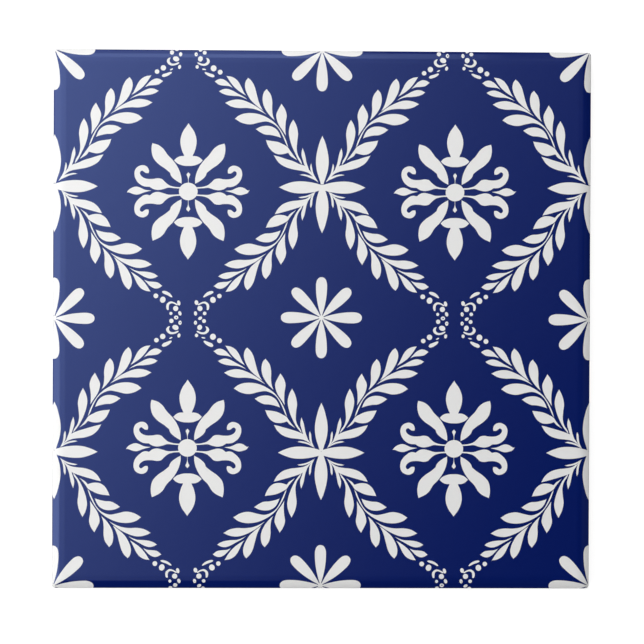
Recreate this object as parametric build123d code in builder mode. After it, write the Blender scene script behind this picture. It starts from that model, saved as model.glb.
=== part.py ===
"""Decorative wall tile: one square of pressed, glazed and fired ceramic.

The tile lies on its back, with the glazed face up. The origin is under the
middle of the back and +Z points out of the face. All sizes are in millimetres.
"""

import os
from math import atan, cos, pi, sin

from build123d import *

# Outline and body
side = 108.0
thickness = 6.35
corner_radius = 0.7
wall_draft = 0.25
back_bevel = 0.5

# Cushion edge: the face eases down in a wide arc, then rolls over to the wall in a tight one
cushion_width = 2.6
cushion_drop = 0.85
rim_roll = 0.3
cushion_steps = 5
roll_steps = 4

# Key back, a grid of shallow pockets that the adhesive grips
back_border = 6.0
pocket_side = 10.0
pocket_depth = 0.7
pocket_corner = 1.2
pocket_draft = 20.0
rib_width = 2.0

# Sizes worked out from those above; the slope is where the wide arc meets the tight one
rim_height = thickness - cushion_drop
cushion_slope = 2 * atan((cushion_drop - rim_roll) / (cushion_width - rim_roll))
cushion_radius = (cushion_width - rim_roll) / sin(cushion_slope) + rim_roll
pocket_pitch = pocket_side + rib_width
pockets_each_way = 2 * int((side / 2 - back_border + rib_width / 2) // pocket_pitch)


def square_section(height, inset):
    """Return the tile's square outline at a height, drawn in by an inset on every side."""
    with BuildSketch(Plane.XY.offset(height)) as section:
        RectangleRounded(side - 2 * inset, side - 2 * inset, corner_radius)
    return section.sketch


# Wall: a bevel round the back, then a slight draft out to the rim
wall_sections = [
    square_section(0, wall_draft + back_bevel),
    square_section(back_bevel, wall_draft),
    square_section(rim_height, 0),
]

# Rim roll: from the upright wall up to the cushion's slope
roll_turns = [(pi / 2 - cushion_slope) * step / roll_steps for step in range(roll_steps + 1)]
roll_sections = [
    square_section(rim_height + rim_roll * sin(turn), rim_roll * (1 - cos(turn)))
    for turn in roll_turns
]

# Cushion: from that slope up to the level face
cushion_tilts = [cushion_slope * (1 - step / cushion_steps) for step in range(cushion_steps + 1)]
cushion_sections = [
    square_section(thickness - cushion_radius * (1 - cos(tilt)), cushion_width - cushion_radius * sin(tilt))
    for tilt in cushion_tilts
]

with BuildPart() as tile:
    loft(wall_sections, ruled=True)
    loft(roll_sections)
    loft(cushion_sections)

    # Key back: tapered pockets with ribs between them and a plain border round the grid
    with BuildSketch(Plane.XY) as pockets:
        with GridLocations(pocket_pitch, pocket_pitch, pockets_each_way, pockets_each_way):
            Rectangle(pocket_side, pocket_side)
        chamfer(pockets.vertices(), length=pocket_corner)
    extrude(amount=pocket_depth, taper=pocket_draft, mode=Mode.SUBTRACT)

tile.part.label = "tile"

os.makedirs("parts", exist_ok=True)
export_step(tile.part, "parts/tile.step")
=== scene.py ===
"""A blue and white decorative wall tile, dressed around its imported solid.

The tile lies on its back with the printed face up. Its ornament is drawn in millimetres on the
face, rightwards from the left side and downwards from the top side. Every mesh is in metres, in
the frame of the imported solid.
"""

import logging
import math
from dataclasses import dataclass, field, replace
from enum import Enum
from typing import Any, Iterator, Sequence

import bmesh
import bpy
import numpy as np
from mathutils import Euler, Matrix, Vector
from mathutils.geometry import delaunay_2d_cdt

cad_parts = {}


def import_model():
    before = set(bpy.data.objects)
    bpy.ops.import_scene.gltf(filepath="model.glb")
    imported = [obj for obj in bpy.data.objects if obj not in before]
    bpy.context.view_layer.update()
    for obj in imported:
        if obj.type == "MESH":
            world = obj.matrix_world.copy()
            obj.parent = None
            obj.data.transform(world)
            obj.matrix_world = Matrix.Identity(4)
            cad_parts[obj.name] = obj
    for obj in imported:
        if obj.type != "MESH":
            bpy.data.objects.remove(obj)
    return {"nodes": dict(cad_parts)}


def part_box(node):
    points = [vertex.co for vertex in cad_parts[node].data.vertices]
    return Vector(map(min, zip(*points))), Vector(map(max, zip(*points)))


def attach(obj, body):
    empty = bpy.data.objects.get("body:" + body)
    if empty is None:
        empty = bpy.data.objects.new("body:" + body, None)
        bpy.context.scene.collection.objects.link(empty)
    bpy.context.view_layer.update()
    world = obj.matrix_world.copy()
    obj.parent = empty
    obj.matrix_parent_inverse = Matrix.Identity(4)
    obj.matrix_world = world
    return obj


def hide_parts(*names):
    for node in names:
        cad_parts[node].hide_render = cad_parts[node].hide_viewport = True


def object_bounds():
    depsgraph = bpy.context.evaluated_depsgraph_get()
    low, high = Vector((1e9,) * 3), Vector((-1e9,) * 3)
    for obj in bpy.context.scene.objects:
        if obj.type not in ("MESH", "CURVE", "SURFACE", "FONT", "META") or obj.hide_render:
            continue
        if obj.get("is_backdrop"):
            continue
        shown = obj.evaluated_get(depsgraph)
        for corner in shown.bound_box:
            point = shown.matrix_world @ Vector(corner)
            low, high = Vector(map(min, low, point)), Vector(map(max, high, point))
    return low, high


LOG = logging.getLogger("decorative_tile")

Point = tuple[float, float]
Run = tuple[Point, ...]
Shape = tuple[Run, ...]
Colour = tuple[float, float, float]

MM = 0.001
SAMPLE_LENGTH = 0.3
BEAD_STEPS = 12
ROOM_GLOW = 0.03


# Curves

def between(start: Point, end: Point, share: float) -> Point:
    """Return the point at a share of the way from one point to another."""
    return (start[0] + (end[0] - start[0]) * share, start[1] + (end[1] - start[1]) * share)


def sample_stretch(a: Point, b: Point, c: Point, d: Point) -> list[Point]:
    """Sample the stretch from b to c of a smooth curve through four points.

    Args:
        a: The point before the stretch.
        b: The start of the stretch.
        c: The end of the stretch.
        d: The point after the stretch.

    Returns:
        Points of a centripetal Catmull-Rom curve, from b up to just before c.
    """
    first, middle, last = (math.sqrt(math.dist(p, q)) for p, q in ((a, b), (b, c), (c, d)))
    steps = max(2, math.ceil(math.dist(b, c) / SAMPLE_LENGTH))
    samples = []
    for step in range(steps):
        at = middle * step / steps
        ab = between(a, b, (first + at) / first)
        bc = between(b, c, at / middle)
        cd = between(c, d, (at - middle) / last)
        abc = between(ab, bc, (first + at) / (first + middle))
        bcd = between(bc, cd, at / (middle + last))
        samples.append(between(abc, bcd, at / middle))
    return samples


def sample_line(line: Sequence[Point]) -> list[Point]:
    """Sample a smooth curve from the second of its points to just before the last but one."""
    stretches = zip(line, line[1:], line[2:], line[3:])
    return [point for stretch in stretches for point in sample_stretch(*stretch)]


def cornered_outline(runs: Sequence[Run]) -> list[Point]:
    """Join smooth runs into a closed outline with a corner wherever two runs meet.

    Args:
        runs: Each run starts at a corner and ends at the first point of the next run.

    Returns:
        The points of the outline.
    """
    outline = []
    for run, following in zip(runs, (*runs[1:], runs[0])):
        points = (*run, following[0])
        before, after = between(points[1], points[0], 2.0), between(points[-2], points[-1], 2.0)
        outline.extend(sample_line((before, *points, after)))
    return outline


def rounded_outline(points: Run) -> list[Point]:
    """Return a closed smooth outline through points, without a corner."""
    return sample_line((points[-1], *points, *points[:2]))


def flipped(points: Sequence[Point], across: int, upward: int) -> list[Point]:
    """Return points mirrored by a sign for each axis."""
    return [(across * x, upward * y) for x, y in points]


@dataclass(frozen=True)
class Bead:
    """A round or oval bead: its middle, its two half widths and its tilt in degrees."""

    across: float
    upward: float
    half_width: float
    half_height: float
    tilt: float = 0.0

    def outline(self) -> list[Point]:
        """Draw the bead.

        Returns:
            Its outline, in the figure's own axes.
        """
        turn = math.radians(self.tilt)
        steps = max(BEAD_STEPS, math.ceil(2 * math.pi * self.half_width / SAMPLE_LENGTH))
        points = []
        for step in range(steps):
            angle = 2 * math.pi * step / steps
            x, y = self.half_width * math.cos(angle), self.half_height * math.sin(angle)
            points.append((self.across + x * math.cos(turn) - y * math.sin(turn),
                           self.upward + x * math.sin(turn) + y * math.cos(turn)))
        return points


@dataclass(frozen=True)
class Placing:
    """Where a figure stands on the face, and which way it is mirrored.

    Attributes:
        right: Distance of the figure's origin from the left side of the face.
        down: Distance of the origin from the top side.
        across: 1 where the figure's first axis points right, and -1 where it points left.
        upward: 1 where its second axis points up the face, and -1 where it points down.
    """

    right: float
    down: float
    across: int = 1
    upward: int = 1

    def put(self, outlines: Iterator[list[Point]]) -> Iterator[list[Point]]:
        """Yield outlines of the figure as points rightwards and downwards on the face."""
        for outline in outlines:
            yield [(self.right + self.across * x, self.down - self.upward * y) for x, y in outline]


# Ornament

class Foot(Enum):
    """How the lowest leaves of a branch lie beside the star."""

    SPREAD = "spread"
    CLOSE = "close"


@dataclass(frozen=True)
class LaurelBranch:
    """A laurel branch that grows outward and upward from the middle of a star.

    Attributes:
        spray: The leaves that every branch shares.
        spread_foot: The lowest leaves where they spread out beside the star.
        close_foot: The lowest leaves where they lie close to it.
        loose_leaves: How many of the lowest leaves can be moved, the last ones of a foot.
    """

    spray: tuple[Shape, ...] = (
        (((21.75, 20.65), (21.05, 21.1), (20.25, 21.22), (19.35, 20.82), (18.65, 20.15)),
         ((17.9, 19.3), (18.85, 19.68), (19.85, 19.77), (20.85, 19.95))),
        (((19.4, 21.82), (18.35, 21.68), (17.35, 21.15), (16.65, 20.3), (16.2, 19.4), (15.7, 18.4)),
         ((15.2, 17.7), (16.35, 18.38), (17.55, 19.3), (18.5, 20.4))),
        (((20.87, 18.71), (20.05, 19.12), (19.25, 19.23), (18.35, 19.0), (16.85, 18.2), (15.65, 17.53)),
         ((14.65, 16.7), (15.65, 17.26), (16.85, 17.67), (18.05, 17.74), (19.35, 17.92), (20.35, 18.3))),
        (((19.65, 16.35), (18.65, 16.83), (17.45, 17.09), (16.35, 17.04), (14.85, 16.55), (12.85, 15.44)),
         ((10.75, 13.7), (12.25, 14.55), (13.65, 15.1), (15.25, 15.32), (16.85, 15.3), (18.35, 15.6))),
        (((17.65, 13.18), (16.85, 13.86), (15.65, 14.3), (14.25, 14.4), (12.65, 14.15), (10.85, 13.36),
          (9.35, 12.25), (8.15, 10.7), (7.25, 8.9)),
         ((6.75, 7.3), (7.25, 8.0), (7.9, 9.5), (8.85, 11.25), (9.85, 12.13), (11.25, 12.63),
          (12.65, 12.43), (14.55, 12.03), (16.25, 12.35))),
        (((13.45, 11.13), (12.55, 11.62), (11.35, 11.85), (10.25, 11.73), (9.25, 11.17), (8.65, 10.35)),
         ((8.25, 9.35), (9.15, 9.65), (10.35, 9.92), (11.55, 10.02), (12.55, 10.48))),
        (((14.97, 21.48), (15.45, 20.85), (15.65, 19.9), (15.48, 18.9), (15.05, 17.9), (14.43, 16.9),
          (13.39, 15.9)),
         ((11.8, 14.7), (12.47, 15.9), (12.85, 16.9), (13.25, 18.4), (13.7, 19.9), (14.31, 20.9))),
        (((11.23, 19.25), (11.8, 18.65), (12.1, 17.3), (11.89, 15.9), (11.25, 14.65), (10.45, 13.65)),
         ((9.5, 12.8), (9.9, 13.8), (10.07, 15.1), (10.05, 16.6), (10.35, 18.05))),
        (((8.25, 16.32), (8.77, 15.4), (9.33, 14.1), (9.17, 12.9), (8.75, 11.9), (8.0, 10.8)),
         ((7.3, 9.7), (7.4, 11.0), (7.35, 12.4), (7.15, 14.0), (7.55, 15.3))),
        (((3.97, 7.5), (4.19, 6.7), (4.22, 5.9), (3.93, 4.9), (3.55, 3.8)),
         ((2.25, 2.0), (2.75, 3.4), (3.1, 4.4), (3.3, 5.4), (3.52, 6.4))),
    )
    spread_foot: tuple[Shape, ...] = (
        (((5.87, 13.17), (6.45, 12.2), (6.8, 10.7), (6.65, 9.4), (6.22, 7.9), (5.55, 6.4), (4.8, 4.9)),
         ((3.95, 3.8), (4.25, 4.9), (4.81, 5.9), (5.08, 7.1), (5.0, 8.7), (4.85, 10.1), (5.0, 11.3),
          (5.35, 12.3))),
        (((11.39, 9.0), (10.15, 8.82), (8.85, 8.6), (7.85, 8.15), (6.95, 7.6), (6.45, 6.9), (5.75, 5.95)),
         ((4.85, 4.8), (5.65, 5.25), (6.5, 5.8)),
         ((6.87, 6.37), (7.65, 6.15), (8.55, 6.03), (9.55, 6.28), (10.55, 7.15), (11.05, 7.95))),
        (((9.88, 5.95), (8.85, 5.7), (7.35, 5.22), (5.85, 4.76), (4.55, 4.16), (3.5, 3.8), (2.25, 2.6),
          (1.4, 1.45)),
         ((0.5, 0.2), (1.55, 1.15), (2.65, 2.2), (3.65, 2.63), (4.85, 2.86), (6.35, 3.14), (7.85, 3.7),
          (8.85, 4.4), (9.45, 5.2))),
        (((4.8, 1.98), (3.95, 2.17), (2.85, 1.99), (1.65, 1.5)),
         ((0.5, 0.15), (1.35, 0.8), (2.35, 1.27), (3.35, 1.68), (4.1, 1.84))),
        (((2.27, 4.42), (2.5, 3.85), (2.5, 3.2), (2.1, 2.2)),
         ((0.5, 0.2), (1.3, 1.4), (1.82, 2.4), (2.04, 3.4))),
    )
    close_foot: tuple[Shape, ...] = (
        (((5.87, 13.27), (6.45, 12.2), (6.8, 10.7), (6.65, 9.4), (6.2, 7.9), (5.55, 6.45), (4.93, 5.4),
          (4.5, 4.85)),
         ((3.8, 4.05), (4.1, 4.95), (4.72, 5.9), (5.05, 7.1), (4.98, 8.7), (4.82, 10.1), (5.0, 11.3),
          (5.35, 12.3))),
        (((11.33, 8.9), (9.85, 8.75), (8.85, 8.52), (7.85, 8.07), (6.9, 7.5), (6.45, 6.85), (5.75, 5.95)),
         ((4.9, 5.0), (5.65, 5.5), (6.45, 6.02)),
         ((6.9, 6.55), (7.65, 6.3), (8.55, 6.22), (9.45, 6.38), (10.35, 7.02), (10.95, 7.95))),
        (((9.6, 6.07), (8.85, 5.92), (7.35, 5.51), (5.85, 5.07), (4.55, 4.64), (3.55, 4.15), (2.25, 2.6),
          (1.4, 1.5)),
         ((0.6, 0.45), (1.55, 1.5), (2.65, 2.52), (3.65, 3.0), (4.85, 3.2), (6.35, 3.38), (7.85, 3.92),
          (8.85, 4.77), (9.3, 5.45))),
        (((4.93, 2.63), (4.4, 2.82), (3.85, 2.8), (2.9, 2.58), (2.1, 2.15)),
         ((0.6, 0.45), (1.35, 1.27), (2.35, 1.9), (3.35, 2.27), (4.2, 2.44))),
        (((2.33, 4.83), (2.5, 4.4), (2.5, 3.6), (2.4, 2.95), (2.05, 2.2)),
         ((0.6, 0.45), (1.3, 1.45), (1.8, 2.5), (1.97, 3.5), (2.04, 4.2))),
    )
    loose_leaves: int = 3

    def outlines(self, foot: Foot, reach: float, lift: float) -> Iterator[list[Point]]:
        """Yield the outline of each leaf.

        Args:
            foot: How the lowest leaves lie.
            reach: How far the loose leaves are moved outward.
            lift: How far they are moved up.

        Returns:
            Outlines that run outward and upward from the star's middle.
        """
        lowest = self.spread_foot if foot is Foot.SPREAD else self.close_foot
        for leaf in (*self.spray, *lowest[:-self.loose_leaves]):
            yield cornered_outline(leaf)
        for leaf in lowest[-self.loose_leaves:]:
            yield [(x + reach, y + lift) for x, y in cornered_outline(leaf)]


@dataclass(frozen=True)
class StarFlower:
    """A flower of four pointed petals at which four branches meet."""

    upright_side: Run = ((0.3, 0.0), (0.56, 0.9), (0.9, 1.9), (1.16, 2.9), (1.33, 4.4), (1.23, 5.9),
                         (0.81, 7.8), (0.5, 8.8))
    upright_tip: Point = (0.0, 9.86)
    level_side: Run = ((0.0, 0.5), (1.35, 0.9), (2.85, 1.17), (4.5, 1.27), (5.85, 1.14), (6.85, 0.86),
                       (7.85, 0.47))
    level_tip: Point = (8.77, 0.0)

    def upright_petal(self) -> Iterator[list[Point]]:
        """Yield the petal that points up."""
        back = flipped(self.upright_side[::-1], -1, 1)
        yield cornered_outline((self.upright_side, (self.upright_tip, *back[:-1]), (back[-1],)))

    def level_petal(self) -> Iterator[list[Point]]:
        """Yield the petal that points outward."""
        back = flipped(self.level_side[::-1], 1, -1)
        yield cornered_outline((self.level_side, (self.level_tip, *back[:-1]), (back[-1],)))


@dataclass(frozen=True)
class Rosette:
    """A rosette of petals with round ends.

    Attributes:
        widest_at: Reach at which a petal is widest.
        throat_fullness: How fast a petal widens from the middle; less is fuller.
        end_fullness: How square its round end is; 2 is an ellipse.
        side_steps: Points along a petal's throat, and along its end.
        heart_radius: Radius of the round heart.
    """

    petals: int = 8
    petal_length: float = 8.2
    half_width: float = 1.17
    widest_at: float = 6.3
    throat_fullness: float = 0.9
    end_fullness: float = 2.3
    side_steps: int = 16
    heart_radius: float = 0.55

    def half_width_at(self, reach: float) -> float:
        """Work out how wide a petal is.

        Args:
            reach: Distance from the rosette's middle.

        Returns:
            Half the petal's width there.
        """
        if reach <= self.widest_at:
            share = (reach / self.widest_at) ** self.throat_fullness
            return self.half_width * math.sin(math.pi / 2 * share)
        share = (reach - self.widest_at) / (self.petal_length - self.widest_at)
        return self.half_width * max(0.0, 1 - share ** self.end_fullness) ** (1 / self.end_fullness)

    def outlines(self) -> Iterator[list[Point]]:
        """Yield the round heart and the outline of each petal.

        Returns:
            Outlines round the rosette's middle.
        """
        yield Bead(0.0, 0.0, self.heart_radius, self.heart_radius).outline()
        steps = range(self.side_steps)
        reaches = [self.widest_at * step / self.side_steps for step in steps]
        end = self.petal_length - self.widest_at
        turns = [math.pi / 2 * step / self.side_steps for step in steps]
        reaches += [self.widest_at + end * math.sin(turn) for turn in turns]
        side = [(reach, self.half_width_at(reach)) for reach in reaches]
        petal = [*side, (self.petal_length, 0.0), *flipped(side[:0:-1], 1, -1)]
        for number in range(self.petals):
            turn = 2 * math.pi * number / self.petals
            yield [(x * math.cos(turn) - y * math.sin(turn), x * math.sin(turn) + y * math.cos(turn))
                   for x, y in petal]


@dataclass(frozen=True)
class MedallionHalf:
    """What differs between the upper and the lower half of a medallion, all measured outward.

    Attributes:
        petal_tip: Reach of the upright petal.
        slant_tip: The outer corner of the slanted petal.
        slant_shoulder: The petal's inner edge next to that corner.
        slant_flank: Its outer edge next to that corner.
        pin_tip: Reach of the small pin on the boss.
        pin_head: The widest point of the pin's head.
        scroll_back: The scroll's outer back, from its curl to the notch.
        scroll_belly: The scroll's edge along the level axis, from the notch to the boss.
    """

    petal_tip: float
    slant_tip: Point
    slant_shoulder: Run
    slant_flank: Run
    pin_tip: float
    pin_head: Point
    scroll_back: Run
    scroll_belly: Run


@dataclass(frozen=True)
class Medallion:
    """The flower in the middle of a field: a boss with petals, scrolls and side leaves round it.

    Attributes:
        pin_half_width: Half the width of the pin's stem.
        neck_half_width: Half its width at the neck, under the head.
        neck_drop: How far the neck lies under the head's widest point.
        stem_drop: How far under it the stem begins.
        pin_root: How deep the stem stands in the boss.
        halves: The upper and the lower half.
    """

    boss: Bead = Bead(0.0, 0.0, 1.93, 1.81)
    petal_side: Run = ((0.54, 13.0), (0.97, 12.4), (1.4, 11.5), (1.66, 10.4), (1.62, 9.3), (1.27, 8.0),
                       (0.95, 7.3))
    petal_foot: Point = (0.8, 6.6)
    bow_tip: Point = (2.92, 6.25)
    bow_crest: Run = ((2.4, 6.77), (1.92, 7.03), (1.4, 7.16), (0.0, 7.1))
    bow_keel: Run = ((2.62, 5.9), (2.18, 5.55), (1.58, 5.3), (0.9, 5.12), (0.0, 5.08))
    slant_inner: Run = ((4.09, 7.33), (3.05, 6.25), (2.18, 5.04), (1.62, 3.82), (1.32, 2.53))
    slant_foot: Run = ((1.33, 1.5), (2.27, 2.0), (3.22, 2.74), (3.58, 3.25))
    slant_outer: Run = ((3.72, 3.72), (4.7, 4.52), (6.0, 5.42), (7.03, 6.6))
    scroll_face: Run = ((1.6, 0.9), (2.7, 0.97), (3.87, 1.32), (4.69, 1.98), (5.24, 2.51), (6.11, 2.68),
                        (7.1, 2.54), (8.35, 2.57), (9.13, 2.88), (9.6, 3.4), (9.64, 3.82), (9.28, 4.1),
                        (8.9, 3.84), (8.5, 3.6))
    scroll_curl: Run = ((7.94, 3.62), (7.85, 4.1), (8.15, 4.86), (8.93, 5.28), (9.8, 5.16), (10.53, 4.65),
                        (10.85, 3.78))
    scroll_root: Point = (1.6, 0.53)
    side_leaf_body: Shape = (
        ((12.0, 0.3), (11.2, 0.8), (10.4, 0.98), (9.68, 0.8), (8.7, 0.36), (7.8, 0.24)),
        ((7.1, 0.15), (8.0, -0.04), (9.05, -0.34), (9.7, -0.6), (10.4, -0.73), (11.2, -0.57), (11.9, -0.3)),
    )
    side_leaf_tips: tuple[Point, Point] = ((12.4, -0.28), (12.4, 0.38))
    pin_half_width: float = 0.1
    neck_half_width: float = 0.22
    neck_drop: float = 0.5
    stem_drop: float = 1.0
    pin_root: float = 0.2
    halves: tuple[MedallionHalf, MedallionHalf] = (
        MedallionHalf(
            petal_tip=13.78, slant_tip=(7.25, 9.71),
            slant_shoulder=((6.08, 9.37), (5.45, 8.98), (4.93, 8.5)),
            slant_flank=((7.42, 7.9), (7.42, 9.1)), pin_tip=3.93, pin_head=(0.42, 3.42),
            scroll_back=((10.75, 2.8), (10.23, 1.83), (9.5, 1.22), (8.9, 0.95), (8.3, 0.87)),
            scroll_belly=((7.8, 0.87), (7.1, 0.43), (6.1, 0.22), (5.0, 0.4), (4.03, 0.7), (2.95, 0.62))),
        MedallionHalf(
            petal_tip=13.72, slant_tip=(7.12, 9.97),
            slant_shoulder=((6.05, 9.5), (5.41, 9.1), (4.89, 8.6)),
            slant_flank=((7.35, 7.9), (7.33, 9.1)), pin_tip=4.12, pin_head=(0.46, 3.54),
            scroll_back=((10.72, 2.6), (10.2, 1.75), (9.5, 1.12), (9.0, 0.77), (8.3, 0.63)),
            scroll_belly=((7.72, 0.77), (7.0, 0.24), (6.1, 0.07), (5.0, 0.3), (4.0, 0.6), (2.9, 0.6))),
    )

    def upright_pieces(self, half: MedallionHalf) -> Iterator[list[Point]]:
        """Yield the petal, the bow and the pin that stand on the upright axis of a half.

        Args:
            half: The half's own sizes.

        Returns:
            Outlines that run upward from the boss.
        """
        front = ((0.0, half.petal_tip), *self.petal_side)
        back = tuple(flipped((self.petal_foot, *self.petal_side[::-1]), -1, 1))
        yield cornered_outline((front, (self.petal_foot,), back))
        crest = (self.bow_tip, *self.bow_crest, *flipped(self.bow_crest[-2::-1], -1, 1))
        keel = (*flipped((self.bow_tip, *self.bow_keel), -1, 1), *self.bow_keel[-2::-1])
        yield cornered_outline((crest, keel))
        head = half.pin_head[1]
        foot = (self.pin_half_width, self.boss.half_height - self.pin_root)
        right = (half.pin_head, (self.neck_half_width, head - self.neck_drop),
                 (self.pin_half_width, head - self.stem_drop))
        left = tuple(flipped(right[::-1], -1, 1))
        yield cornered_outline((((0.0, half.pin_tip), *right), (foot,), ((-foot[0], foot[1]), *left)))

    def quarter_pieces(self, half: MedallionHalf) -> Iterator[list[Point]]:
        """Yield the slanted petal and the scroll of one quarter of a half.

        Args:
            half: The half's own sizes.

        Returns:
            Outlines that run outward and upward from the boss.
        """
        inner = (half.slant_tip, *half.slant_shoulder, *self.slant_inner)
        yield cornered_outline((inner, self.slant_foot, (*self.slant_outer, *half.slant_flank)))
        yield cornered_outline((self.scroll_face, (*self.scroll_curl, *half.scroll_back),
                                half.scroll_belly, (self.scroll_root,)))

    def outlines(self) -> Iterator[list[Point]]:
        """Yield every outline of the medallion.

        Returns:
            Outlines round the middle of the boss.
        """
        yield self.boss.outline()
        for upward, half in zip((1, -1), self.halves):
            for outline in self.upright_pieces(half):
                yield flipped(outline, 1, upward)
            for across in (-1, 1):
                for outline in self.quarter_pieces(half):
                    yield flipped(outline, across, upward)
        for across, tip in zip((-1, 1), self.side_leaf_tips):
            upper, lower = self.side_leaf_body
            yield flipped(cornered_outline(((tip, *upper), lower)), across, 1)


@dataclass(frozen=True)
class BeadLink:
    """Two strings of beads that link the branches above and below, left and right of an axis.

    Attributes:
        left_beads: Beads of the left string, measured outward from the axis.
        left_middle: The bead of the left string that lies beside the link's middle.
        left_eyelets: Eyelets in the left string's beads.
        right_eyelets: Eyelets in the right string's beads.
        right_beads: Beads of the right string.
    """

    left_beads: tuple[Bead, ...] = (
        Bead(6.4, 4.44, 0.54, 0.54), Bead(5.02, 3.67, 0.62, 0.69, 20), Bead(1.8, 3.03, 0.38, 0.58, -15),
        Bead(2.42, 1.92, 0.58, 0.58), Bead(3.37, 0.92, 0.36, 0.38), Bead(1.57, 0.95, 0.38, 0.52, -20),
        Bead(3.27, -0.57, 0.49, 0.5), Bead(1.54, -0.93, 0.39, 0.49), Bead(2.45, -1.88, 0.7, 0.56, 20),
        Bead(1.74, -3.5, 0.36, 0.48, 15), Bead(3.37, -4.0, 0.4, 0.19, -25), Bead(5.0, -3.7, 0.6, 0.6),
        Bead(6.26, -4.46, 0.52, 0.51),
    )
    left_middle: Bead = Bead(2.31, 0.11, 0.5, 0.45)
    left_eyelets: tuple[Bead, ...] = (Bead(2.27, 0.09, 0.18, 0.18), Bead(1.5, -0.92, 0.15, 0.14))
    right_eyelets: tuple[Bead, ...] = (Bead(1.66, 0.8, 0.12, 0.12), Bead(1.64, -0.94, 0.12, 0.14))
    right_beads: tuple[Bead, ...] = (
        Bead(6.34, 4.46, 0.51, 0.51), Bead(5.05, 3.67, 0.62, 0.67, 20), Bead(1.75, 3.13, 0.43, 0.54, 15),
        Bead(2.45, 1.94, 0.58, 0.58), Bead(3.4, 0.96, 0.42, 0.42), Bead(1.57, 0.95, 0.37, 0.5, 10),
        Bead(2.5, -0.02, 0.49, 0.37, 30), Bead(3.28, -0.58, 0.45, 0.45), Bead(1.57, -0.92, 0.37, 0.47),
        Bead(2.42, -1.85, 0.54, 0.6, -20), Bead(1.78, -3.47, 0.38, 0.42),
        Bead(3.17, -3.95, 0.46, 0.19, -10), Bead(5.08, -3.73, 0.64, 0.67), Bead(6.4, -4.5, 0.55, 0.55),
    )
    upper_petal: Run = ((5.22, 5.25), (4.95, 5.5), (4.13, 5.36), (3.4, 4.82), (3.05, 4.2), (3.25, 4.12),
                        (4.13, 4.54), (4.95, 4.92))
    upper_hook: Run = ((3.8, 1.6), (4.15, 1.6), (4.37, 2.2), (4.25, 2.85), (3.6, 3.36), (3.0, 3.33),
                       (2.4, 3.05), (1.95, 2.72), (2.12, 2.5), (2.75, 2.82), (3.25, 2.93), (3.65, 2.7),
                       (3.76, 2.2))
    lower_petal: Run = ((5.22, -5.55), (4.95, -5.82), (4.33, -5.7), (3.65, -5.3), (3.15, -4.7),
                        (3.3, -4.48), (4.33, -4.8), (5.0, -5.1))
    lower_hook: Run = ((3.5, -1.64), (3.85, -1.62), (4.25, -1.95), (4.37, -2.4), (4.1, -2.9), (3.5, -3.26),
                       (2.7, -3.24), (2.0, -2.94), (1.75, -2.68), (1.9, -2.5), (2.7, -2.76), (3.3, -2.75),
                       (3.68, -2.4), (3.65, -1.95))

    def outlines(self) -> Iterator[list[Point]]:
        """Yield every outline of the two strings.

        Returns:
            Outlines round the middle of the link.
        """
        strings = ((-1, (*self.left_beads, self.left_middle)), (1, self.right_beads))
        for across, beads in strings:
            for bead in beads:
                yield flipped(bead.outline(), across, 1)
            for run in (self.upper_petal, self.upper_hook, self.lower_petal, self.lower_hook):
                yield flipped(rounded_outline(run), across, 1)

    def holes(self) -> Iterator[list[Point]]:
        """Yield the eyelets in which the ground shows through beads.

        Returns:
            Outlines round the middle of the link.
        """
        for across, eyelets in ((-1, self.left_eyelets), (1, self.right_eyelets)):
            for eyelet in eyelets:
                yield flipped(eyelet.outline(), across, 1)


TOP_LINK = BeadLink(
    lower_petal=((5.35, -5.3), (5.1, -5.57), (4.4, -5.47), (3.7, -5.12), (3.22, -4.65), (3.4, -4.45),
                 (4.4, -4.72), (5.1, -4.95)),
    left_eyelets=())
TOP_RIGHT_LINK = replace(TOP_LINK, left_eyelets=(Bead(1.5, -0.92, 0.17, 0.2),))
MIDDLE_LINK = BeadLink()
BOTTOM_LINK = BeadLink(
    upper_petal=((5.35, 4.98), (5.1, 5.2), (4.2, 5.06), (3.4, 4.6), (3.0, 4.07), (3.2, 3.98),
                 (4.13, 4.4), (5.0, 4.72)),
    left_eyelets=())
BOTTOM_RIGHT_LINK = replace(BOTTOM_LINK, left_eyelets=(Bead(2.3, 0.13, 0.22, 0.15),))


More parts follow.
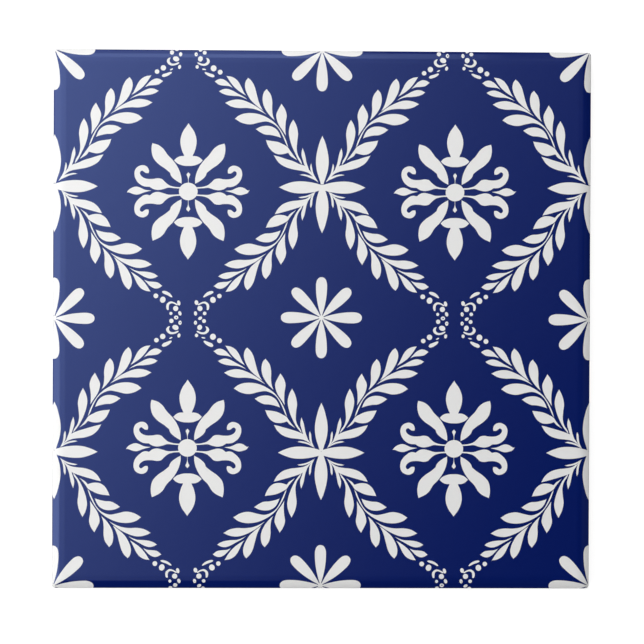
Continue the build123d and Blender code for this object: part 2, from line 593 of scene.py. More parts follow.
@dataclass(frozen=True)
class Ornament:
    """The whole printed pattern: a trellis of laurel branches with flowers in its fields.

    Attributes:
        star_places: Middles of the stars' upright petals, row by row.
        stars_each_row: How many stars stand in a row.
        level_lift: How far the level petals' axis lies below the upright petals' middle, by row.
        branch_columns: For each column of branches, where it starts, which way it is mirrored and
            how far its feet are moved outward.
        branch_rows: For each row, where it starts, which way it is mirrored, how its feet lie and
            how far they are lifted.
        rosette_places: Middles of the rosettes.
        medallion_places: Middles of the medallions.
        link_places: Middles of the bead links, with the link that stands there.
    """

    star_places: tuple[Point, ...] = (
        (0.15, 26.83), (53.87, 26.83), (108.0, 26.75), (0.29, 80.45), (53.89, 80.52), (108.0, 80.45))
    stars_each_row: int = 3
    level_lift: tuple[float, float] = (0.59, 0.24)
    branch_columns: tuple[tuple[float, int, float], ...] = (
        (0.14, 1, 0.0), (53.86, -1, -0.06), (53.74, 1, 0.0), (107.73, -1, -0.16))
    branch_rows: tuple[tuple[float, int, Foot, float], ...] = (
        (26.9, 1, Foot.SPREAD, 0.0), (26.7, -1, Foot.CLOSE, 0.1),
        (81.08, 1, Foot.CLOSE, -0.14), (80.61, -1, Foot.CLOSE, -0.03))
    rosette_places: tuple[Point, ...] = (
        (0.06, -0.03), (53.77, -0.07), (107.8, -0.14),
        (0.12, 53.92), (53.82, 53.6), (107.82, 53.83),
        (0.1, 107.72), (53.83, 107.5), (108.1, 107.53))
    medallion_places: tuple[Point, ...] = (
        (26.97, 28.37), (80.63, 28.3), (27.0, 79.87), (80.64, 79.91))
    link_places: tuple[tuple[float, float, BeadLink], ...] = (
        (26.87, -0.11, TOP_LINK), (80.56, -0.13, TOP_RIGHT_LINK),
        (26.95, 53.79, MIDDLE_LINK), (80.62, 53.76, MIDDLE_LINK),
        (26.96, 107.56, BOTTOM_LINK), (80.65, 107.57, BOTTOM_RIGHT_LINK))

    def outlines(self) -> Iterator[list[Point]]:
        """Yield every white outline.

        Returns:
            Outlines rightwards and downwards on the face.
        """
        branch, star, rosette = LaurelBranch(), StarFlower(), Rosette()
        for right, across, reach in self.branch_columns:
            for down, upward, foot, lift in self.branch_rows:
                yield from Placing(right, down, across, upward).put(branch.outlines(foot, reach, lift))
        for number, (right, down) in enumerate(self.star_places):
            level = down + self.level_lift[number // self.stars_each_row]
            for sign in (1, -1):
                yield from Placing(right, down, 1, sign).put(star.upright_petal())
                yield from Placing(right, level, sign).put(star.level_petal())
        for right, down in self.rosette_places:
            yield from Placing(right, down).put(rosette.outlines())
        for right, down in self.medallion_places:
            yield from Placing(right, down).put(Medallion().outlines())
        for right, down, link in self.link_places:
            yield from Placing(right, down).put(link.outlines())

    def holes(self) -> Iterator[list[Point]]:
        """Yield the outlines within figures in which the ground shows."""
        for right, down, link in self.link_places:
            yield from Placing(right, down).put(link.holes())


# Shader graphs

class Value:
    """A number socket of a shader graph, which takes part in Python arithmetic."""

    def __init__(self, graph: "Graph", socket: bpy.types.NodeSocket) -> None:
        """Wrap an output socket of a graph."""
        self.graph = graph
        self.socket = socket

    def _math(self, operation: str, first: Any, second: Any) -> "Value":
        """Add a Math node on two operands and return its result."""
        node = self.graph.node("ShaderNodeMath", {"operation": operation}, {0: first, 1: second})
        return Value(self.graph, node.outputs[0])

    def __add__(self, other: Any) -> "Value":
        """Return the sum."""
        return self._math("ADD", self, other)

    def __radd__(self, other: Any) -> "Value":
        """Return the sum, reflected."""
        return self._math("ADD", other, self)

    def __sub__(self, other: Any) -> "Value":
        """Return the difference."""
        return self._math("SUBTRACT", self, other)

    def __rsub__(self, other: Any) -> "Value":
        """Return the difference, reflected."""
        return self._math("SUBTRACT", other, self)

    def __mul__(self, other: Any) -> "Value":
        """Return the product."""
        return self._math("MULTIPLY", self, other)

    def __pow__(self, other: Any) -> "Value":
        """Return the power."""
        return self._math("POWER", self, other)


class Graph:
    """The node tree of a material or of the world."""

    def __init__(self, tree: bpy.types.NodeTree) -> None:
        """Start from an empty tree."""
        tree.nodes.clear()
        self.tree = tree

    def node(self, kind: str, settings: dict[str, Any] | None = None,
             inputs: dict[Any, Any] | None = None) -> bpy.types.Node:
        """Add a node.

        Args:
            kind: The node's type.
            settings: Properties of the node, set first.
            inputs: Values or links for its sockets, by name or number.

        Returns:
            The new node.
        """
        node = self.tree.nodes.new(kind)
        for name, setting in (settings or {}).items():
            setattr(node, name, setting)
        for name, value in (inputs or {}).items():
            if isinstance(value, Value):
                self.tree.links.new(value.socket, node.inputs[name])
            elif isinstance(value, bpy.types.NodeSocket):
                self.tree.links.new(value, node.inputs[name])
            else:
                node.inputs[name].default_value = value
        return node

    def noise(self, place: bpy.types.NodeSocket, cells_per_metre: float, detail: float) -> Value:
        """Return a noise from 0 to 1 over the object's own coordinates."""
        node = self.node("ShaderNodeTexNoise", {"noise_dimensions": "3D"},
                         {"Vector": place, "Scale": cells_per_metre, "Detail": detail})
        return Value(self, node.outputs[0])

    def ramp(self, value: Any, start: float, end: float, low: float = 0.0, high: float = 1.0) -> Value:
        """Turn a value into a share that stays within two ends.

        Args:
            value: The value that is turned.
            start: The value at which the share leaves its low end.
            end: The value at which it comes to its high end.
            low: The share up to the start.
            high: The share from the end on.

        Returns:
            The share.
        """
        node = self.node("ShaderNodeMapRange", {"interpolation_type": "LINEAR"}, {
            "Value": value, "From Min": start, "From Max": end, "To Min": low, "To Max": high})
        return Value(self, node.outputs[0])

    def vectors(self, operation: str, first: Any, second: Any, result: str) -> bpy.types.NodeSocket:
        """Return the named result of an operation on two vectors."""
        node = self.node("ShaderNodeVectorMath", {"operation": operation}, {0: first, 1: second})
        return node.outputs[result]

    def mix(self, share: Value, first: Any, second: Any) -> bpy.types.NodeSocket:
        """Return a colour mixed from two colours."""
        node = self.node("ShaderNodeMix", {"data_type": "RGBA"}, {0: share, 6: first, 7: second})
        return node.outputs[2]


def surface_material(name: str) -> tuple[bpy.types.Material, Graph]:
    """Start a material.

    Args:
        name: The material's name.

    Returns:
        The material with an empty node tree, and the graph of that tree.
    """
    material = bpy.data.materials.new(name)
    material.use_nodes = True
    return material, Graph(material.node_tree)


@dataclass(frozen=True)
class GlazeFinish:
    """A printed colour under a clear, fired glaze.

    Attributes:
        name: The material's name.
        thin: The colour where the print is thin.
        full: The colour where the print lies full.
        gloss_tint: Tint of the light that the glaze gives back.
        roughness: How much the glaze spreads what it mirrors.
        roughness_swing: How far the roughness swings with the print's clouds.
        cloud_share: The clouds' share in how full the print lies; fine grain has the rest.
        ripple_strength: How much the glaze's ripples bend the light.
        ripple_depth: How deep they are.
    """

    name: str
    thin: Colour
    full: Colour
    gloss_tint: Colour
    roughness: float
    refraction: float = 1.6
    roughness_swing: float = 0.06
    cloud_share: float = 0.6
    cloud_cells: float = 70.0
    cloud_detail: float = 3.0
    grain_cells: float = 1600.0
    grain_detail: float = 2.0
    ripple_cells: float = 420.0
    ripple_detail: float = 1.0
    ripple_strength: float = 0.25
    ripple_depth: float = 0.00002

    def material(self) -> bpy.types.Material:
        """Make the glaze.

        Returns:
            The glaze as a material.
        """
        material, graph = surface_material(self.name)
        place = graph.node("ShaderNodeTexCoord").outputs["Object"]
        cloud = graph.noise(place, self.cloud_cells, self.cloud_detail)
        grain = graph.noise(place, self.grain_cells, self.grain_detail)
        ripple = graph.noise(place, self.ripple_cells, self.ripple_detail)
        share = cloud * self.cloud_share + grain * (1 - self.cloud_share)
        bump = graph.node("ShaderNodeBump", {}, {
            "Strength": self.ripple_strength, "Distance": self.ripple_depth, "Height": ripple})
        shader = graph.node("ShaderNodeBsdfPrincipled", {}, {
            "Base Color": graph.mix(share, (*self.thin, 1.0), (*self.full, 1.0)),
            "Roughness": self.roughness + (cloud - 0.5) * self.roughness_swing,
            "IOR": self.refraction,
            "Specular Tint": (*self.gloss_tint, 1.0),
            "Normal": bump.outputs[0]})
        graph.node("ShaderNodeOutputMaterial", {}, {"Surface": shader.outputs[0]})
        return material


@dataclass(frozen=True)
class BiscuitFinish:
    """The fired clay of the walls and the back, with the clear glaze that ran down over the rim.

    Attributes:
        pale: The clay's pale colour.
        warm: The warmer colour that clouds it.
        speck: Colour of the specks.
        glazed: The clay's colour under the glaze.
        roughness: Roughness of the bare clay where its grain is low.
        roughness_swing: How much the grain adds to it.
        cloud_share: The clouds' share in the clay's colour; fine grain has the rest.
        speck_start: The noise at which a speck begins.
        speck_full: The noise at which it is strongest.
        speck_strength: How much a speck covers there.
        run_edge: Height on the wall at which the run of glaze ends.
        run_wander: How far that end wanders up and down.
        run_feather: Height over which the glaze thins out.
        run_gloss: How much smoother the glaze is than the clay.
    """

    name: str = "fired_clay"
    pale: Colour = (0.74, 0.7, 0.62)
    warm: Colour = (0.62, 0.55, 0.46)
    speck: Colour = (0.3, 0.24, 0.19)
    glazed: Colour = (0.78, 0.76, 0.72)
    roughness: float = 0.8
    roughness_swing: float = 0.15
    specular: float = 0.3
    cloud_share: float = 0.7
    cloud_cells: float = 90.0
    cloud_detail: float = 4.0
    grain_cells: float = 2600.0
    grain_detail: float = 3.0
    grain_strength: float = 0.5
    grain_depth: float = 0.00008
    speck_cells: float = 1100.0
    speck_detail: float = 0.0
    speck_start: float = 0.68
    speck_full: float = 0.76
    speck_strength: float = 0.6
    run_edge: float = 0.0045
    run_wander: float = 0.0028
    run_cells: float = 140.0
    run_detail: float = 2.0
    run_feather: float = 0.0003
    run_gloss: float = 0.65

    def material(self) -> bpy.types.Material:
        """Make the clay.

        Returns:
            The clay as a material.
        """
        material, graph = surface_material(self.name)
        place = graph.node("ShaderNodeTexCoord").outputs["Object"]
        cloud = graph.noise(place, self.cloud_cells, self.cloud_detail)
        grain = graph.noise(place, self.grain_cells, self.grain_detail)
        flecks = graph.noise(place, self.speck_cells, self.speck_detail)
        clouded = cloud * self.cloud_share + grain * (1 - self.cloud_share)
        body = graph.mix(clouded, (*self.pale, 1.0), (*self.warm, 1.0))
        specks = graph.ramp(flecks, self.speck_start, self.speck_full, 0.0, self.speck_strength)
        bare = graph.mix(specks, body, (*self.speck, 1.0))
        height = Value(graph, graph.node("ShaderNodeSeparateXYZ", {}, {0: place}).outputs["Z"])
        wander = (graph.noise(place, self.run_cells, self.run_detail) - 0.5) * self.run_wander
        covered = graph.ramp(height + wander, self.run_edge, self.run_edge + self.run_feather)
        bump = graph.node("ShaderNodeBump", {}, {
            "Strength": self.grain_strength, "Distance": self.grain_depth,
            "Height": grain * (1 - covered)})
        shader = graph.node("ShaderNodeBsdfPrincipled", {}, {
            "Base Color": graph.mix(covered, bare, (*self.glazed, 1.0)),
            "Roughness": self.roughness + grain * self.roughness_swing - covered * self.run_gloss,
            "Specular IOR Level": self.specular,
            "Normal": bump.outputs[0]})
        graph.node("ShaderNodeOutputMaterial", {}, {"Surface": shader.outputs[0]})
        return material


# Tile

class Finish(Enum):
    """The material slots of the tile, in order."""

    COBALT = 0
    WHITE = 1
    CLAY = 2


@dataclass
class DecorativeTile:
    """The tile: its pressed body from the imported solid, under a printed and glazed face.

    Attributes:
        node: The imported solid's object.
        corner_radius: Radius of the four upright corners.
        rim_roll: Radius of the tight roll from the wall to the cushion.
        cushion_steps: Rings of the cushion, where the face eases down to the roll.
        roll_steps: Rings of the roll.
        print_margin: Bare ground left at the very rim.
        bleed: How far the ground's colour spreads over the white at its edges.
        print_scale: Size of the print on the face, against the ornament as drawn.
        touch: How near the rim or the level face a vertex of the solid counts as on it.
        join: How near two places of the cut face are one.
        merge_distance: How near two vertices of the solid are one, in metres.
        face_share: Side of the face on the bake map.
        back_share: Side of the back on it.
        map_gap: Gap between what lies on the map.
        wall_pitch: Height kept on it for each wall.
    """

    node: bpy.types.Object
    name: str = "decorative_tile"
    corner_radius: float = 0.7
    rim_roll: float = 0.3
    cushion_steps: int = 10
    roll_steps: int = 5
    corner_steps: int = 8
    print_margin: float = 0.03
    bleed: float = 0.05
    print_scale: float = 0.998
    touch: float = 0.001
    join: float = 0.0001
    merge_distance: float = 0.00001
    face_share: float = 0.72
    back_share: float = 0.25
    map_gap: float = 0.01
    wall_pitch: float = 0.05
    ornament: Ornament = field(default_factory=Ornament)
    cobalt: GlazeFinish = GlazeFinish(
        "cobalt_glaze", (0.0024, 0.0108, 0.113), (0.0010, 0.0072, 0.097), (0.44, 0.58, 1.0), 0.12)
    white: GlazeFinish = GlazeFinish(
        "white_glaze", (0.785, 0.78, 0.77), (0.755, 0.755, 0.755), (0.48, 0.48, 0.48), 0.12)
    clay: BiscuitFinish = BiscuitFinish()

    def __post_init__(self) -> None:
        """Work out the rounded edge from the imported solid, in millimetres."""
        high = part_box(self.node.name)[1]
        self.half_side = high.x / MM
        self.thickness = high.z / MM
        corners = [vertex.co / MM for vertex in self.node.data.vertices]
        self.rim_height = max(c.z for c in corners if c.x > self.half_side - self.touch)
        flat_reach = max(c.x for c in corners if c.z > self.thickness - self.touch)
        self.cushion_width = self.half_side - flat_reach
        span = self.cushion_width - self.rim_roll
        self.slope = 2 * math.atan((self.thickness - self.rim_height - self.rim_roll) / span)
        self.cushion_radius = span / math.sin(self.slope) + self.rim_roll

    def inset(self, x: float, y: float) -> float:
        """Measure how far inside the rim a place on the face lies.

        Args:
            x: Place across the face, in millimetres from its middle.
            y: Place up the face.

        Returns:
            The inset, in millimetres.
        """
        across, along = abs(x), abs(y)
        radius = self.corner_radius
        inset = self.half_side - max(across, along)
        if min(across, along) > self.half_side - inset - radius:
            apart = across - along
            middle = (across + along - math.sqrt(max(0.0, 2 * radius ** 2 - apart ** 2))) / 2
            inset = self.half_side - radius - middle
        return max(0.0, inset)

    def lean(self, inset: float) -> float:
        """Work out how steep the face is.

        Args:
            inset: Distance inside the rim.

        Returns:
            The sine of the face's slope there.
        """
        if inset < self.rim_roll * (1 - math.sin(self.slope)):
            return 1 - inset / self.rim_roll
        return max(0.0, self.cushion_width - inset) / self.cushion_radius

    def height(self, inset: float) -> float:
        """Work out how high the face lies.

        Args:
            inset: Distance inside the rim.

        Returns:
            The height there, in millimetres.
        """
        lean = self.lean(inset)
        rise = math.sqrt(max(0.0, 1 - lean ** 2))
        if lean > math.sin(self.slope):
            return self.rim_height + self.rim_roll * rise
        return self.thickness - self.cushion_radius * (1 - rise)

    def ring_insets(self) -> list[float]:
        """Space out the rings that shape the rounded edge.

        Returns:
            Their insets, from the rim inwards.
        """
        climb = math.pi / 2 - self.slope
        turns = [climb * step / self.roll_steps for step in range(1, self.roll_steps + 1)]
        shares = [1 - step / self.cushion_steps for step in range(1, self.cushion_steps + 1)]
        tilts = [self.slope * share for share in shares]
        roll = [self.rim_roll * (1 - math.cos(turn)) for turn in turns]
        return roll + [self.cushion_width - self.cushion_radius * math.sin(tilt) for tilt in tilts]

    def normal(self, x: float, y: float) -> Vector:
        """Return the face's normal at a place.

        Args:
            x: Place across the face, in millimetres from its middle.
            y: Place up the face.

        Returns:
            A unit vector.
        """
        inset = self.inset(x, y)
        lean = self.lean(inset)
        if lean == 0.0:
            return Vector((0.0, 0.0, 1.0))
        core = self.half_side - inset - self.corner_radius
        outward = Vector([math.copysign(max(0.0, abs(at) - core), at) for at in (x, y)])
        outward.normalize()
        return Vector((outward.x * lean, outward.y * lean, math.sqrt(max(0.0, 1 - lean ** 2))))

    def ring(self, inset: float) -> list[Point]:
        """Draw the rounded square that lies inside the rim by an inset.

        Args:
            inset: Distance inside the rim.

        Returns:
            Its points, counter-clockwise.
        """
        core = self.half_side - inset - self.corner_radius
        points = []
        for quarter in range(4):
            for step in range(self.corner_steps + 1):
                turn = math.pi / 2 * (quarter + step / self.corner_steps)
                corner_turn = math.pi / 2 * (quarter + 0.5)
                middle_x = math.copysign(core, math.cos(corner_turn))
                middle_y = math.copysign(core, math.sin(corner_turn))
                points.append((middle_x + self.corner_radius * math.cos(turn),
                               middle_y + self.corner_radius * math.sin(turn)))
        return points

    def on_face(self, outline: Sequence[Point]) -> list[Point]:
        """Turn an outline of the ornament into places round the face's middle, within the print's limit.

        Args:
            outline: Points rightwards and downwards on the face.

        Returns:
            The clipped outline, counter-clockwise, or an empty list where nothing is left.
        """
        scale, half = self.print_scale, self.half_side
        points = [(scale * (right - half), scale * (half - down)) for right, down in outline]
        area = sum(p[0] * q[1] - q[0] * p[1] for p, q in zip(points, points[1:] + points[:1]))
        if area < 0:
            points.reverse()
        points = self._shrunk(points)
        limit = self.half_side - self.print_margin - self.corner_radius
        if max(max(abs(x), abs(y)) for x, y in points) < limit:
            return points
        border = self.ring(self.print_margin)
        for start, end in zip(border, border[1:] + border[:1]):
            points = self._cut(points, start, end)
        return points

    def _shrunk(self, points: list[Point]) -> list[Point]:
        """Draw an outline in by the bleed.

        Args:
            points: The outline, counter-clockwise.

        Returns:
            The outline of what stays white.
        """
        shrunk = []
        for before, here, after in zip(points[-1:] + points, points, points[1:] + points[:1]):
            along_x, along_y = after[0] - before[0], after[1] - before[1]
            length = math.hypot(along_x, along_y) or 1.0
            shrunk.append((here[0] - self.bleed * along_y / length,
                           here[1] + self.bleed * along_x / length))
        return shrunk

    def _cut(self, points: list[Point], start: Point, end: Point) -> list[Point]:
        """Keep the part of an outline that lies left of a line.

        Args:
            points: The outline.
            start: A point of the line.
            end: A later point of the line.

        Returns:
            The part that is kept.
        """
        run_x, run_y = end[0] - start[0], end[1] - start[1]

        def side(point: Point) -> float:
            """Return how far left of the line a point lies, scaled by the line's length."""
            return run_x * (point[1] - start[1]) - run_y * (point[0] - start[0])

        kept = []
        for here, there in zip(points, points[1:] + points[:1]):
            at_here, at_there = side(here), side(there)
            if at_here >= 0:
                kept.append(here)
            if (at_here >= 0) != (at_there >= 0):
                kept.append(between(here, there, at_here / (at_here - at_there)))
        return kept

    def body(self) -> tuple[list[Vector], list[list[int]], list[int]]:
        """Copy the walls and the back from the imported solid.

        Returns:
            The vertices, the faces, and the rim's vertices in order, counter-clockwise.
        """
        shell = bmesh.new()
        shell.from_mesh(self.node.data)
        bmesh.ops.remove_doubles(shell, verts=shell.verts, dist=self.merge_distance)
        floor = self.rim_height * MM - self.merge_distance
        top = [face for face in shell.faces if min(v.co.z for v in face.verts) > floor]
        bmesh.ops.delete(shell, geom=top, context="FACES")
        shell.verts.index_update()
        vertices = [vertex.co.copy() for vertex in shell.verts]
        faces = [[vertex.index for vertex in face.verts] for face in shell.faces]
        rim = [vertex.index for vertex in shell.verts if vertex.is_boundary]
        rim.sort(key=lambda index: math.atan2(vertices[index].y, vertices[index].x))
        shell.free()
        return vertices, faces, rim

    def printed_face(
            self, rim: list[Point]) -> tuple[list[Point], list[list[int]], list[bool], list[int]]:
        """Cut the face along the outlines of its ornament.

        Args:
            rim: The rim's places, counter-clockwise.

        Returns:
            The places, the triangles, whether each triangle is white, and for each place its
            number on the rim or -1.
        """
        places = list(rim)
        edges = []
        for inset in self.ring_insets():
            ring = self.ring(inset)
            first = len(places)
            places.extend(ring)
            edges.extend((first + n, first + (n + 1) % len(ring)) for n in range(len(ring)))
        loops = [list(range(len(rim)))]
        figures, holes = ([points for points in map(self.on_face, drawn) if len(points) > 2]
                          for drawn in (self.ornament.outlines(), self.ornament.holes()))
        for outline in figures + holes:
            loops.append(list(range(len(places), len(places) + len(outline))))
            places.extend(outline)
        cut = delaunay_2d_cdt([Vector(place) for place in places], edges, loops, 0, self.join, True)
        first_hole = 1 + len(figures)
        white = [any(0 < n < first_hole for n in found) and not any(n >= first_hole for n in found)
                 for found in cut[5]]
        numbers = [min((n for n in found if n < len(rim)), default=-1) for found in cut[3]]
        return [tuple(place) for place in cut[0]], [list(face) for face in cut[2]], white, numbers

    def build(self) -> bpy.types.Object:
        """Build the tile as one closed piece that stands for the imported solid.

        Returns:
            The tile's object, dressed and riding on its body.
        """
        vertices, faces, rim = self.body()
        body_faces = len(faces)
        rim_places = [(vertices[index].x / MM, vertices[index].y / MM) for index in rim]
        places, triangles, white, numbers = self.printed_face(rim_places)
        where = []
        for place, number in zip(places, numbers):
            if number >= 0:
                where.append(rim[number])
                continue
            where.append(len(vertices))
            vertices.append(Vector((*place, self.height(self.inset(*place)))) * MM)
        faces.extend([where[n] for n in triangle] for triangle in triangles)
        mesh = bpy.data.meshes.new(self.name)
        mesh.from_pydata(vertices, [], faces)
        finishes = [Finish.CLAY.value] * body_faces
        finishes += [Finish.WHITE.value if is_white else Finish.COBALT.value for is_white in white]
        mesh.polygons.foreach_set("material_index", finishes)
        self.shade(mesh, body_faces)
        self.unwrap(mesh, body_faces)
        for finish in (self.cobalt, self.white, self.clay):
            mesh.materials.append(finish.material())
        tile = bpy.data.objects.new(self.name, mesh)
        bpy.context.scene.collection.objects.link(tile)
        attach(tile, "root")
        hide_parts(self.node.name)
        return tile

    def shade(self, mesh: bpy.types.Mesh, body_faces: int) -> None:
        """Give the face its true normals, and leave the body's faces flat.

        Args:
            mesh: The tile's mesh.
            body_faces: How many of its first faces are walls and back.
        """
        mesh.polygons.foreach_set("use_smooth", [True] * len(mesh.polygons))
        normals = []
        for polygon in mesh.polygons:
            for index in polygon.vertices:
                if polygon.index < body_faces:
                    normals.append(polygon.normal.copy())
                else:
                    co = mesh.vertices[index].co
                    normals.append(self.normal(co.x / MM, co.y / MM))
        mesh.normals_split_custom_set(normals)

    def unwrap(self, mesh: bpy.types.Mesh, body_faces: int) -> None:
        """Lay the face, the back and the four walls side by side on the bake map.

        Args:
            mesh: The tile's mesh.
            body_faces: How many of its first faces are walls and back.
        """
        gap = self.map_gap
        beyond = self.face_share + 2 * gap
        scale = 1 / (2 * self.half_side * MM)
        layer = mesh.uv_layers.new(name="OFBake")
        for polygon in mesh.polygons:
            turn = polygon.normal
            for loop in polygon.loop_indices:
                co = mesh.vertices[mesh.loops[loop].vertex_index].co
                across, along = co.x * scale + 0.5, co.y * scale + 0.5
                if polygon.index >= body_faces:
                    place = (gap + across * self.face_share, gap + along * self.face_share)
                elif abs(turn.z) > 0.5:
                    place = (beyond + (1 - across) * self.back_share, gap + along * self.back_share)
                else:
                    sideways = abs(turn.x) > abs(turn.y)
                    wall = int(turn.x <= 0) if sideways else 2 + int(turn.y <= 0)
                    run = along if sideways else across
                    lift = co.z * scale * self.face_share
                    place = (gap + run * self.face_share, beyond + wall * self.wall_pitch + lift)
                layer.data[loop].uv = place


# Studio

def studio_square(
        name: str, half_width: float, facing_up: bool, material: bpy.types.Material) -> bpy.types.Object:
    """Make a level square of the studio round the frame's upright axis.

    Args:
        name: The square's name.
        half_width: Half its side.
        facing_up: Whether its face looks up or down.
        material: Its only material.

    Returns:
        The square's object, on the plane of the floor.
    """
    w = half_width
    face = (0, 1, 2, 3) if facing_up else (0, 3, 2, 1)
    mesh = bpy.data.meshes.new(name)
    mesh.from_pydata([(-w, -w, 0), (w, -w, 0), (w, w, 0), (-w, w, 0)], [], [face])
    mesh.materials.append(material)
    square = bpy.data.objects.new(name, mesh)
    bpy.context.scene.collection.objects.link(square)
    return square


@dataclass
class StudioFloor:
    """A plain pale floor that runs well past the picture, with the tile's shadow on it.

    Attributes:
        half_width: Half the floor's side.
        colour: The colour by which it throws light back on the tile's walls.
        shade: The colour by which it takes the tile's shadow, where it is seen or mirrored.
        glow: What is added to that shade, so that it looks white.
    """

    half_width: float = 3.0
    colour: Colour = (0.8, 0.8, 0.8)
    shade: Colour = (0.3, 0.3, 0.3)
    glow: float = 0.88

    def build(self) -> bpy.types.Object:
        """Build the floor.

        Returns:
            The floor's object.
        """
        material, graph = surface_material("studio_floor")
        path = graph.node("ShaderNodeLightPath").outputs
        gloss = Value(graph, path["Is Glossy Ray"]) + Value(graph, path["Is Transmission Ray"])
        seen = Value(graph, path["Is Camera Ray"]) + gloss
        matt, shaded = (graph.node("ShaderNodeBsdfDiffuse", {}, {"Color": (*colour, 1.0)}).outputs[0]
                        for colour in (self.colour, self.shade))
        light = graph.node("ShaderNodeEmission", {}, {"Strength": self.glow}).outputs[0]
        white = graph.node("ShaderNodeAddShader", {}, {0: shaded, 1: light}).outputs[0]
        both = graph.node("ShaderNodeMixShader", {}, {0: seen, 1: matt, 2: white}).outputs[0]
        graph.node("ShaderNodeOutputMaterial", {}, {"Surface": both})
        floor = studio_square("studio_floor", self.half_width, True, material)
        floor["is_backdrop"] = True
        return floor


@dataclass
class GradedPanel:
    """A wide light panel overhead that fades from one side to the other.

    Attributes:
        height: Height above the floor.
        half_width: Half the panel's side.
        radiance: Radiance at the bright end of the fade.
        bright_reach: Where the fade is brightest, along its way.
        dark_reach: Where it ends.
        fade_power: How fast it falls.
        fade_low: How far the fade goes on to the left and the front; beyond, the panel is even.
        fade_high: How far it goes on to the right and the back.
        bright_side: The way to the bright end.
    """

    height: float = 1.4
    half_width: float = 0.75
    radiance: float = 5.78
    bright_reach: float = -0.336
    dark_reach: float = 0.263
    fade_power: float = 2.0
    fade_low: Point = (-0.15, -0.2)
    fade_high: Point = (0.215, 0.165)
    bright_side: Point = (-0.87, 0.493)

    def build(self) -> bpy.types.Object:
        """Build the panel.

        Returns:
            The panel's object.
        """
        material, graph = surface_material("graded_panel")
        place = graph.node("ShaderNodeTexCoord").outputs["Object"]
        away = (-self.bright_side[0], -self.bright_side[1], 0.0)
        low, high = (*self.fade_low, 0.0), (*self.fade_high, 0.0)
        within = graph.vectors("MAXIMUM", place, low, "Vector")
        within = graph.vectors("MINIMUM", within, high, "Vector")
        along = graph.vectors("DOT_PRODUCT", within, away, "Value")
        share = graph.ramp(along, self.bright_reach, self.dark_reach, 1.0, 0.0) ** self.fade_power
        dark, full = (graph.node("ShaderNodeEmission", {}, {"Strength": strength}).outputs[0]
                      for strength in (0.0, self.radiance))
        both = graph.node("ShaderNodeMixShader", {}, {0: share, 1: dark, 2: full}).outputs[0]
        graph.node("ShaderNodeOutputMaterial", {}, {"Surface": both})
        panel = studio_square("graded_panel", self.half_width, False, material)
        panel.location = (0.0, 0.0, self.height)
        panel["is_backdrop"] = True
        return panel


@dataclass(frozen=True)
class SoftBox:
    """An oblong lamp with an even face.

    Attributes:
        name: The lamp's name.
        place: The middle of its face.
        width: Its level side.
        height: Its other side.
        radiance: Radiance of the face.
        aim: How far to the right of the tile's middle the face looks.
    """

    name: str
    place: tuple[float, float, float]
    width: float
    height: float
    radiance: float
    aim: float = 0.0

    def build(self) -> bpy.types.Object:
        """Build the lamp.

        Returns:
            The lamp's object.
        """
        lamp = bpy.data.lights.new(self.name, "AREA")
        lamp.shape = "RECTANGLE"
        lamp.size = self.width
        lamp.size_y = self.height
        lamp.energy = self.radiance * math.pi * self.width * self.height
        box = bpy.data.objects.new(self.name, lamp)
        box.location = self.place
        back = Vector(self.place) - Vector((self.aim, 0.0, 0.0))
        box.rotation_euler = back.to_track_quat("Z", "Y").to_euler()
        bpy.context.scene.collection.objects.link(box)
        return box


STUDIO_LAMPS = (
    SoftBox("left_lamp", (-0.389, 0.02, 0.377), 0.58, 0.287, 3.75),
    SoftBox("back_lamp", (-0.17, 0.334, 0.42), 0.4, 0.14, 3.65, -0.17),
    SoftBox("low_back_lamp", (-0.17, 0.437, 0.327), 0.4, 0.14, 2.0, -0.17),
    SoftBox("back_right_lamp", (0.0525, 0.362, 0.4), 0.045, 0.213, 1.85, 0.0525),
    SoftBox("back_fill_lamp", (0.235, 0.369, 0.394), 0.3, 0.3, 0.5, 0.235),
    SoftBox("fill_lamp", (0.75, -0.45, 0.6), 1.0, 1.0, 0.1),
)


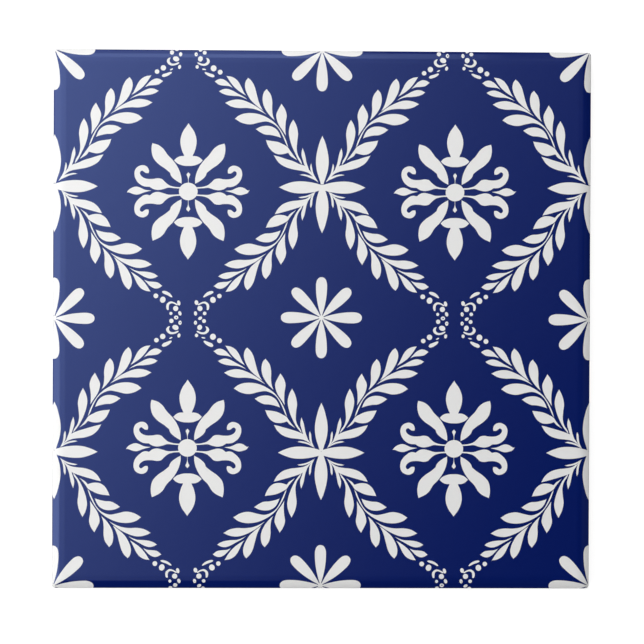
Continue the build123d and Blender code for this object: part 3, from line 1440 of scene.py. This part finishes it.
@dataclass
class PhotoCamera:
    """A camera above the tile, placed so that the rim's corners fall on their pixels in the picture.

    Attributes:
        distance: Distance from the rim at which the solving starts.
        image_width: Width of the picture, in pixels.
        sensor_width: Width of the sensor, in millimetres.
        millimetres_per_pixel: Scale of the picture at the rim.
        rim_pixels: Where the rim's corners fall, rightwards and downwards.
        rim_signs: On which side of the tile's middle each of those corners lies.
        solve_rounds: Rounds of solving for the camera's place and turns.
        nudge: How far each of them is moved to find its slope.
    """

    distance: float = 0.7
    image_width: float = 644.0
    sensor_width: float = 36.0
    millimetres_per_pixel: float = 0.2011
    rim_pixels: tuple[Point, ...] = ((54.1, 49.2), (591.3, 52.5), (588.5, 588.2), (51.4, 588.1))
    rim_signs: tuple[Point, ...] = ((-1, 1), (1, 1), (1, -1), (-1, -1))
    solve_rounds: int = 12
    nudge: float = 0.00001

    def focal_length(self) -> float:
        """Return the focal length, in pixels."""
        return self.distance / (self.millimetres_per_pixel * MM)

    def pixels(self, pose: np.ndarray, corners: np.ndarray) -> np.ndarray:
        """Return where points fall in the picture.

        Args:
            pose: The camera's place and its three turns.
            corners: The points, one in each row.

        Returns:
            Their pixels, all in one row.
        """
        turn = np.array(Euler(pose[3:]).to_matrix())
        seen = (corners - pose[:3]) @ turn
        focal = self.focal_length()
        middle = self.image_width / 2
        right = middle + focal * seen[:, 0] / -seen[:, 2]
        down = middle - focal * seen[:, 1] / -seen[:, 2]
        return np.stack([right, down], axis=1).ravel()

    def build(self, half_side: float, rim_height: float) -> bpy.types.Object:
        """Build the camera and make it the scene's.

        Args:
            half_side: Half the tile's side, in metres.
            rim_height: Height of the rim above the floor.

        Returns:
            The camera's object.
        """
        corners = np.array([(x * half_side, y * half_side, rim_height) for x, y in self.rim_signs])
        target = np.array(self.rim_pixels).ravel()
        pose = np.array([0.0, 0.0, rim_height + self.distance, 0.0, 0.0, 0.0])
        for _ in range(self.solve_rounds):
            here = self.pixels(pose, corners)
            slopes = [(self.pixels(pose + self.nudge * axis, corners) - here) / self.nudge
                      for axis in np.eye(len(pose))]
            pose = pose + np.linalg.lstsq(np.array(slopes).T, target - here, rcond=None)[0]
        lens = bpy.data.cameras.new("camera")
        lens.sensor_fit = "HORIZONTAL"
        lens.sensor_width = self.sensor_width
        lens.lens = self.focal_length() * self.sensor_width / self.image_width
        camera = bpy.data.objects.new("camera", lens)
        camera.location = pose[:3]
        camera.rotation_euler = pose[3:]
        bpy.context.scene.collection.objects.link(camera)
        bpy.context.scene.camera = camera
        misses = self.pixels(pose, corners) - target
        LOG.info("camera: at %s, corners within %.2f pixels", np.round(pose, 4), np.abs(misses).max())
        return camera


def light_world(strength: float) -> None:
    """Light the room evenly.

    Args:
        strength: Strength of the light that comes from every side.
    """
    world = bpy.data.worlds.new("room")
    world.use_nodes = True
    graph = Graph(world.node_tree)
    glow = graph.node("ShaderNodeBackground", {}, {"Color": (1.0, 1.0, 1.0, 1.0), "Strength": strength})
    graph.node("ShaderNodeOutputWorld", {}, {"Surface": glow.outputs[0]})
    bpy.context.scene.world = world


def main() -> None:
    """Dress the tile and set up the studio."""
    logging.basicConfig(level=logging.INFO, format="%(message)s")
    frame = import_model()
    solid_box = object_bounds()
    bpy.context.scene.view_settings.view_transform = "Standard"
    maker = DecorativeTile(frame["nodes"]["tile"])
    tile = maker.build()
    LOG.info("%s: %d vertices, %d faces", tile.name, len(tile.data.vertices), len(tile.data.polygons))
    LOG.info("floor: %s", StudioFloor().build().name)
    LOG.info("panel: %s", GradedPanel().build().name)
    for lamp in STUDIO_LAMPS:
        LOG.info("lamp: %s", lamp.build().name)
    light_world(ROOM_GLOW)
    PhotoCamera().build(maker.half_side * MM, maker.rim_height * MM)
    sizes = {"solid": solid_box, "dressed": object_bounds()}
    {name: [list(corner) for corner in box] for name, box in sizes.items()}


if __name__ == "__main__":
    main()
